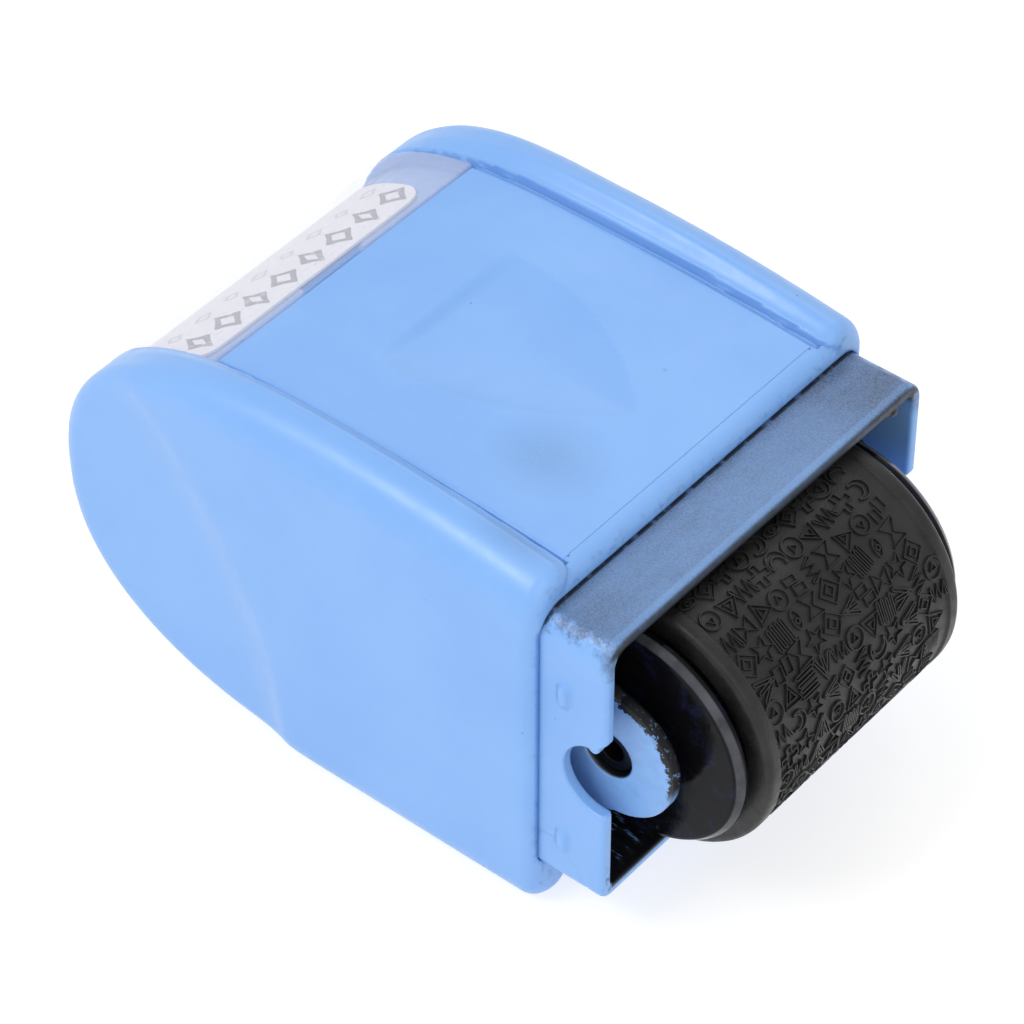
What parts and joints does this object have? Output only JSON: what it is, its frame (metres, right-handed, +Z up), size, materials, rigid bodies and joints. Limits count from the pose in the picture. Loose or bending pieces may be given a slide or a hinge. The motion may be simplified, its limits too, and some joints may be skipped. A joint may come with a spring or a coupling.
{
  "type": "roller stamp",
  "caption": "Hand-held roller stamp: boxy moulded case with a rounded back, a square neck and a relief rubber roller inked by a foam roller in a slide-out cartridge.",
  "frame": {"origin": "middle of the whole object's bottom, on the surface that it rests on", "axes": "+X forward towards the type roller, +Y to the left across the roller, +Z up"},
  "size_m": [0.0786, 0.05, 0.044],
  "materials": {
    "case": "light blue moulded plastic with a soft satin gloss",
    "neck": "light blue moulded plastic, stained with black ink near the roller",
    "cartridge": "light blue moulded plastic with ink residue",
    "window": "clear plastic with a faint lavender tint",
    "card": "white coated card with grey printed marks",
    "type_rubber": "dark grey rubber with fine raised marks",
    "disc": "glossy black plastic wet with ink",
    "ink_core": "white moulded plastic",
    "ink_foam": "open foam soaked with black ink",
    "steel": "bright drawn steel"
  },
  "bodies": {
    "case": {"outer_case": "case", "top_panel": "case", "base_panel": "case", "label_card": "card", "neck_sleeve": "neck"},
    "window": {"label_window": "window"},
    "cartridge": {"cartridge_frame": "cartridge", "cartridge_side_plate": "cartridge", "tie_rod_upper": "steel", "tie_rod_lower": "steel", "side_plate_screws": "steel", "frame_screws": "steel", "roller_axle": "disc", "ink_spindle": "steel", "ink_washer_left": "ink_core", "ink_washer_right": "ink_core"},
    "type_roller": {"roller_core": "disc", "type_sleeve": "type_rubber", "end_disc_left": "disc", "end_disc_right": "disc"},
    "ink_roller": {"ink_core": "ink_core", "ink_foam": "ink_foam"}
  },
  "joints": [
    {"name": "cartridge_pull", "type": "slide", "parent": "case", "child": "cartridge", "axis": [1, 0, 0], "range_m": [0, 0.038]},
    {"name": "type_roller_spin", "type": "hinge", "parent": "cartridge", "child": "type_roller", "pos_m": [0.0252, 0, 0.0219], "axis": [0, 1, 0], "continuous": true},
    {"name": "ink_roller_spin", "type": "hinge", "parent": "cartridge", "child": "ink_roller", "pos_m": [0.0035, 0, 0.0219], "axis": [0, 1, 0], "continuous": true},
    {"name": "window_lift", "type": "slide", "parent": "case", "child": "window", "axis": [-0.6, 0, 0.8], "range_m": [0, 0.015]}
  ],
  "couplings": [
    {"joint": "ink_roller_spin", "follows": "type_roller_spin", "ratio": -1.88}
  ]
}
